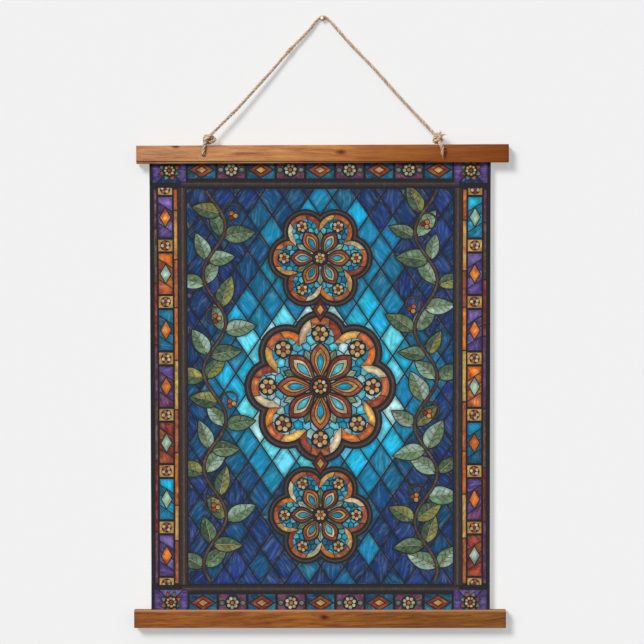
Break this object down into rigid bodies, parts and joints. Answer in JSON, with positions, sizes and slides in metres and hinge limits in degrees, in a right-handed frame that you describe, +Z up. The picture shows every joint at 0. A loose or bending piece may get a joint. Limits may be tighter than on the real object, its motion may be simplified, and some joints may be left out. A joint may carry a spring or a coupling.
{
  "type": "wall tapestry with wooden hanger bars, twine and nail",
  "caption": "Printed cloth wall hanging clamped between two wooden hanger bars, hung by a knotted twine loop from a nail.",
  "frame": {"origin": "where the nail enters the wall, in the wall's plane", "axes": "+Z up, -Y out of the wall towards the viewer, +X to the right as seen from the front"},
  "size_m": [0.7249, 0.0599, 1.1862],
  "materials": {
    "cloth": "printed plain weave",
    "wood": "oiled red-brown wood",
    "twine": "raw three-ply jute",
    "nail": "polished brass"
  },
  "bodies": {
    "root": {"cloth": "cloth", "top_front_slat": "wood", "top_back_slat": "wood", "bottom_front_slat": "wood", "bottom_back_slat": "wood", "twine": "twine", "tie_left": "twine", "tie_right": "twine", "nail": "nail"}
  },
  "joints": []
}
